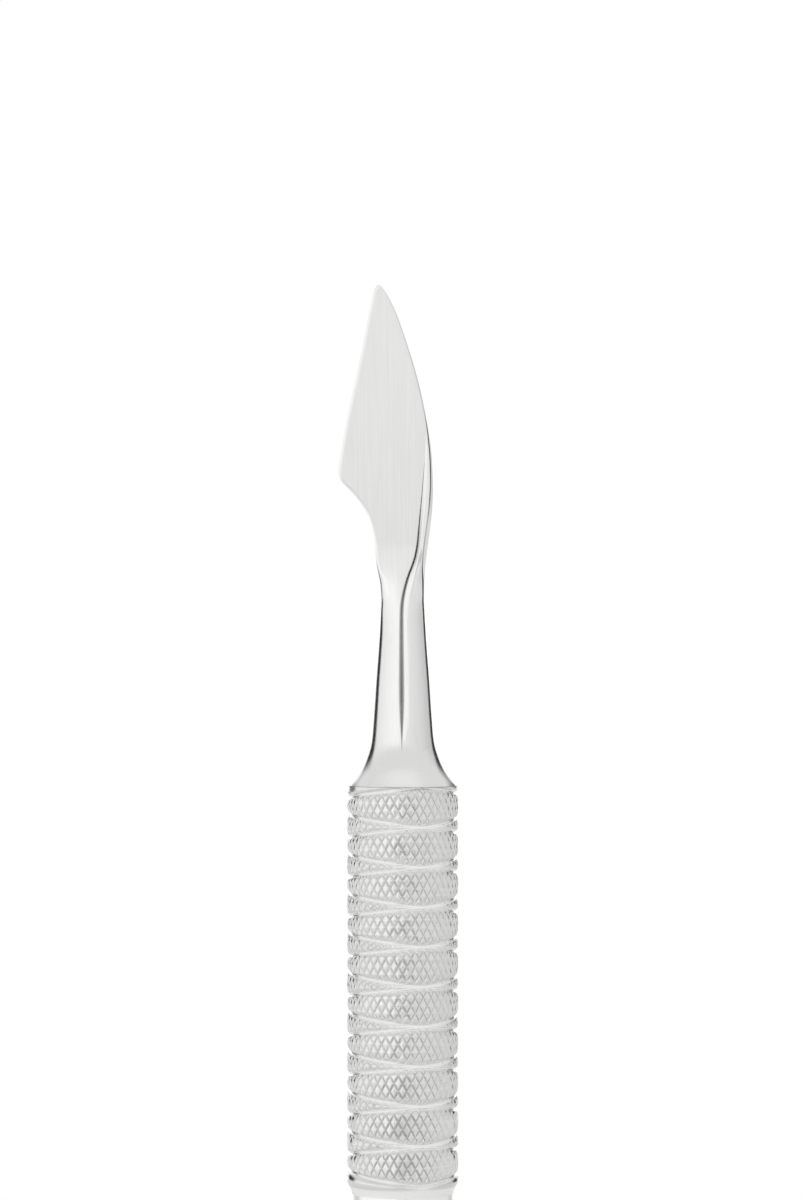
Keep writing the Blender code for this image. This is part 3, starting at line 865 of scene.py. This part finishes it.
def handle_steel():
    """Satin steel of the handle."""
    finish = bpy.context.scene.steel_finish
    sizes = bpy.context.scene.grip_sizes
    # Radii between which the crests are polished and the recesses get painted shade and a painted highlight
    polish_and_light_radii = (sizes.crest_radius - sizes.waist_depth, sizes.crest_radius)
    return bpy.data.materials.get("handle_steel_finish") or metal(
        "handle_steel_finish", finish.handle_color, 0.80, finish.handle_roughness, 0.10, 0.85, 0.12, polish_and_light_radii)


def tip_steel():
    """Brighter steel of both tips."""
    finish = bpy.context.scene.steel_finish
    return bpy.data.materials.get("tip_steel_finish") or metal(
        "tip_steel_finish", finish.tip_color, 0.92, finish.tip_roughness, 0.08, 0.0, 0.055)


def braze_filler():
    """Brassy filler of the braze rings."""
    finish = bpy.context.scene.steel_finish
    return bpy.data.materials.get("braze_filler_finish") or metal(
        "braze_filler_finish", finish.filler_color, 0.6, 0.38, 0.2, 0.4, 0.5)


# Studio

FLAG_COLOR = (0.01, 0.01, 0.01, 1.0)
GAP_COLOR = (0.08, 0.08, 0.08, 1.0)
GAP_SHARE = 0.8
FLOOR_COLORS = ((0.70, 0.70, 0.695, 1.0), (0.75, 0.75, 0.745, 1.0))
FLOOR_GAP = 0.5 * mm
LAMP_POWER = 4.0
LAMP_SIZE = 0.6
LAMP_PLACE = (-0.5, -0.4, 0.7)
CAMERA_OFFSET = -0.08 * mm


def studio_world(strength):
    """A white surround for the camera; reflections see the studio's ring of panels and flags instead."""
    world = bpy.data.worlds.new("studio")
    world.use_nodes = True
    tree = world.node_tree
    tree.nodes.clear()
    way = tree.nodes.new("ShaderNodeTexCoord").outputs["Generated"]
    parts = tree.nodes.new("ShaderNodeSeparateXYZ")
    tree.links.new(way, parts.inputs[0])
    forward = math_node(tree, "MULTIPLY", parts.outputs["Y"], -1.0)
    bearing = math_node(tree, "ARCTAN2", parts.outputs["X"], forward)
    share = math_node(tree, "ADD", math_node(tree, "DIVIDE", bearing, 2 * math.pi), 0.5)
    ring = ramp_node(tree, share, bearing_stops(STUDIO_RING))
    floor_light = ramp_node(tree, share, bearing_stops(FLOOR_RING))
    height = math_node(tree, "ADD", math_node(tree, "MULTIPLY", parts.outputs["Z"], 0.5), 0.5)
    above = ramp_node(tree, height, ABOVE_FLOOR)
    walls = mix_colors(tree, above, floor_light, ring)
    ceiling = ramp_node(tree, height, CEILING_SHARE)
    overhead = ramp_node(tree, height, CEILING_LIGHT)
    roofed = mix_colors(tree, ceiling, walls, overhead)
    flags = ramp_node(tree, share, bearing_stops(STUDIO_FLAGS))
    flag_share = math_node(tree, "MULTIPLY", flags, ramp_node(tree, height, FLAG_HEIGHT))
    flagged = mix_colors(tree, flag_share, roofed, FLAG_COLOR)
    front_gap = ramp_node(tree, share, FRONT_GAP)
    gap_share = math_node(tree, "MULTIPLY", front_gap, ramp_node(tree, height, GAP_HEIGHT))
    dark = math_node(tree, "MULTIPLY", gap_share, GAP_SHARE)
    dimmed = mix_colors(tree, dark, flagged, GAP_COLOR)
    reflected = tree.nodes.new("ShaderNodeLightPath").outputs["Is Glossy Ray"]
    surround = mix_colors(tree, reflected, (1.0, 1.0, 1.0, 1.0), dimmed)
    background = tree.nodes.new("ShaderNodeBackground")
    power = math_node(tree, "ADD", math_node(tree, "MULTIPLY", reflected, strength - 1.0), 1.0)
    tree.links.new(power, background.inputs["Strength"])
    tree.links.new(surround, background.inputs["Color"])
    output = tree.nodes.new("ShaderNodeOutputWorld")
    tree.links.new(background.outputs[0], output.inputs["Surface"])
    return world


def bearing_stops(ring):
    """The ring with its bearings turned into shares of a turn that starts at the back."""
    return [((angle + 180) / 360, value) for angle, value in ring]


def ramp_node(tree, factor, stops):
    """Grey ramp through (position, value) stops."""
    node = tree.nodes.new("ShaderNodeValToRGB")
    elements = node.color_ramp.elements
    while len(elements) < len(stops):
        elements.new(0.5)
    for element, stop in zip(elements, stops):
        element.position = stop[0]
    for element, stop in zip(elements, stops):
        element.color = (stop[1], stop[1], stop[1], 1.0)
    tree.links.new(factor, node.inputs["Fac"])
    return node.outputs["Color"]


def mix_colors(tree, factor, first, second):
    """Mix of two colours, each a socket or a plain colour."""
    node = tree.nodes.new("ShaderNodeMix")
    node.data_type = "RGBA"
    tree.links.new(factor, node.inputs["Factor"])
    for socket, value in ((node.inputs["A"], first), (node.inputs["B"], second)):
        if isinstance(value, tuple):
            socket.default_value = value
        else:
            tree.links.new(value, socket)
    return node.outputs["Result"]


def floor_material():
    """Pale paper with a faint grain."""
    material = bpy.data.materials.new("studio_floor")
    material.use_nodes = True
    tree = material.node_tree
    shader = tree.nodes["Principled BSDF"]
    shader.inputs["Roughness"].default_value = 0.85
    place = tree.nodes.new("ShaderNodeTexCoord").outputs["Object"]
    grain = noise_node(tree, place, 60.0, 4.0)
    tree.links.new(mix_colors(tree, grain, *FLOOR_COLORS), shader.inputs["Base Color"])
    return material


class HANDTOOL_OT_grips(bpy.types.Operator):
    """Make the two knurled grips of the handle tube"""

    bl_idname = "handtool.grips"
    bl_label = "Make Grips"

    def execute(self, context):
        sizes = context.scene.grip_sizes
        seam = context.scene.tip_sizes.seam_width
        make_grip("handle_upper_grip", 1, sizes, seam, handle_steel())
        make_grip("handle_lower_grip", -1, sizes, seam, handle_steel())
        return {"FINISHED"}


class HANDTOOL_OT_middle(bpy.types.Operator):
    """Make the smooth middle of the handle tube"""

    bl_idname = "handtool.middle"
    bl_label = "Make Middle"

    def execute(self, context):
        make_middle("handle_middle", context.scene.grip_sizes, handle_steel())
        return {"FINISHED"}


class HANDTOOL_OT_blade(bpy.types.Operator):
    """Make the pointed blade with its shank and tang"""

    bl_idname = "handtool.blade"
    bl_label = "Make Blade"

    def execute(self, context):
        make_blade("blade_tip_fine", context.scene.tip_sizes, tip_steel())
        return {"FINISHED"}


class HANDTOOL_OT_pusher(bpy.types.Operator):
    """Make the cupped pusher with its shank and tang"""

    bl_idname = "handtool.pusher"
    bl_label = "Make Pusher"

    def execute(self, context):
        make_pusher("pusher_tip_fine", context.scene.tip_sizes, tip_steel())
        return {"FINISHED"}


class HANDTOOL_OT_braze_rings(bpy.types.Operator):
    """Give the frame's two braze rings their filler metal"""

    bl_idname = "handtool.braze_rings"
    bl_label = "Finish Braze Rings"

    def execute(self, context):
        filler = braze_filler()
        for name in ("blade_braze_ring", "pusher_braze_ring"):
            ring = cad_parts[name]
            ring.data.materials.clear()
            ring.data.materials.append(filler)
        return {"FINISHED"}


class HANDTOOL_OT_stage(bpy.types.Operator):
    """Set up the floor, the light and the camera"""

    bl_idname = "handtool.stage"
    bl_label = "Set Up Studio"

    def execute(self, context):
        studio = context.scene.studio_sizes
        context.scene.world = studio_world(studio.ring_strength)
        context.scene.view_settings.view_transform = "Standard"

        bm = bmesh.new()
        bmesh.ops.create_grid(bm, x_segments=1, y_segments=1, size=studio.floor_size / 2)
        bmesh.ops.translate(bm, vec=(0, 0, CAD_BOX[0].z - FLOOR_GAP), verts=bm.verts)
        mesh = bpy.data.meshes.new("studio_floor")
        bm.to_mesh(mesh)
        bm.free()
        mesh.materials.append(floor_material())
        floor = bpy.data.objects.new("studio_floor", mesh)
        context.scene.collection.objects.link(floor)

        lamp = bpy.data.lights.new("soft_box", "AREA")
        lamp.energy = LAMP_POWER
        lamp.size = LAMP_SIZE
        box = bpy.data.objects.new("soft_box", lamp)
        box.location = LAMP_PLACE
        box.rotation_euler = (-box.location).to_track_quat("-Z", "Y").to_euler()
        box.visible_glossy = False
        context.scene.collection.objects.link(box)

        camera = bpy.data.cameras.new("studio_camera")
        camera.sensor_fit = "AUTO"
        camera.sensor_width = 36.0
        camera.lens = studio.camera_lens
        camera.clip_start = 0.01
        camera.clip_end = 10.0
        stand = bpy.data.objects.new("studio_camera", camera)
        stand.location = (CAMERA_OFFSET, -studio.camera_distance, studio.camera_height)
        stand.rotation_euler = (math.radians(90), 0, 0)
        context.scene.collection.objects.link(stand)
        context.scene.camera = stand
        return {"FINISHED"}


class HANDTOOL_PT_panel(bpy.types.Panel):
    """Lists the pieces of the hand tool and their sizes"""

    bl_idname = "HANDTOOL_PT_panel"
    bl_label = "Hand Tool"
    bl_space_type = "VIEW_3D"
    bl_region_type = "UI"
    bl_category = "Hand Tool"

    def draw(self, context):
        for operator in OPERATORS:
            self.layout.operator(operator.bl_idname)
        for group in (context.scene.grip_sizes, context.scene.tip_sizes, context.scene.steel_finish,
                      context.scene.studio_sizes):
            box = self.layout.box()
            for label in group.__annotations__:
                box.prop(group, label)


PROPERTY_GROUPS = {"grip_sizes": GripSizes, "tip_sizes": TipSizes, "steel_finish": SteelFinish,
                   "studio_sizes": StudioSizes}
OPERATORS = (HANDTOOL_OT_grips, HANDTOOL_OT_middle, HANDTOOL_OT_blade, HANDTOOL_OT_pusher,
             HANDTOOL_OT_braze_rings, HANDTOOL_OT_stage)


def register():
    for label, group in PROPERTY_GROUPS.items():
        bpy.utils.register_class(group)
        setattr(bpy.types.Scene, label, PointerProperty(type=group))
    for operator in OPERATORS:
        bpy.utils.register_class(operator)
    bpy.utils.register_class(HANDTOOL_PT_panel)


def unregister():
    bpy.utils.unregister_class(HANDTOOL_PT_panel)
    for operator in reversed(OPERATORS):
        bpy.utils.unregister_class(operator)
    for label, group in PROPERTY_GROUPS.items():
        delattr(bpy.types.Scene, label)
        bpy.utils.unregister_class(group)


def main():
    register()
    bpy.ops.handtool.grips()
    bpy.ops.handtool.middle()
    bpy.ops.handtool.blade()
    bpy.ops.handtool.pusher()
    bpy.ops.handtool.braze_rings()
    bpy.ops.handtool.stage()


if __name__ == "__main__":
    main()
